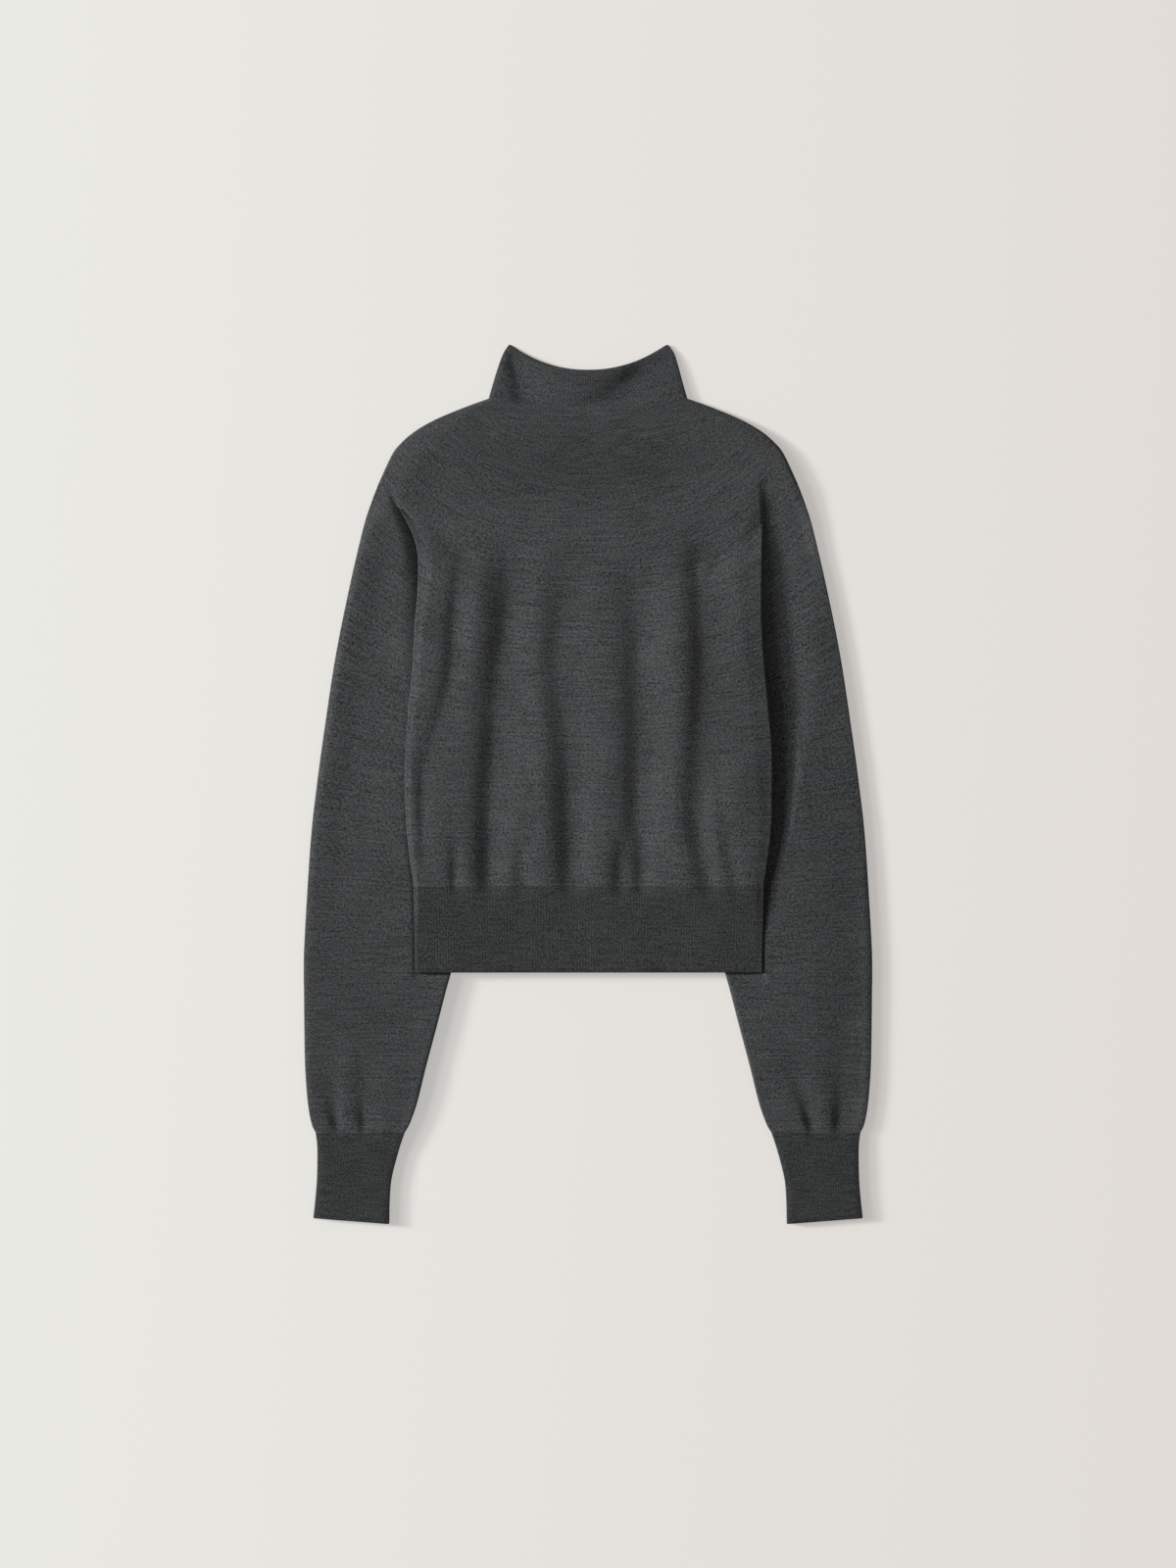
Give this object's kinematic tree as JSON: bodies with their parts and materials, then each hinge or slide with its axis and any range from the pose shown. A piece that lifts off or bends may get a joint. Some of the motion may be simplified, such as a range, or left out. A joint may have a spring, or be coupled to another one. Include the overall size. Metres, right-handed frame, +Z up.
{
  "type": "mock neck sweater",
  "caption": "Cropped, fine-gauge mock neck sweater in charcoal marl with a round yoke and ribbed collar, hem and cuffs, laid flat with its sleeves folded down behind the body.",
  "frame": {"origin": "on the surface the sweater lies on, under the middle of its outline", "axes": "+X to the wearer's left, +Y from the hem to the collar, +Z up from the surface, the way the front faces"},
  "size_m": [0.493, 0.7616, 0.0103],
  "materials": {
    "plain_knit": "matt charcoal marl wool, plain knit",
    "rib_knit": "matt charcoal marl wool, 1x1 rib"
  },
  "bodies": {
    "root": {"yoke_front": "plain_knit", "yoke_back": "plain_knit", "body_front": "plain_knit", "body_back": "plain_knit", "sleeve_left": "plain_knit", "sleeve_right": "plain_knit", "collar": "rib_knit", "hem_band": "rib_knit", "cuff_left": "rib_knit", "cuff_right": "rib_knit"}
  },
  "joints": []
}
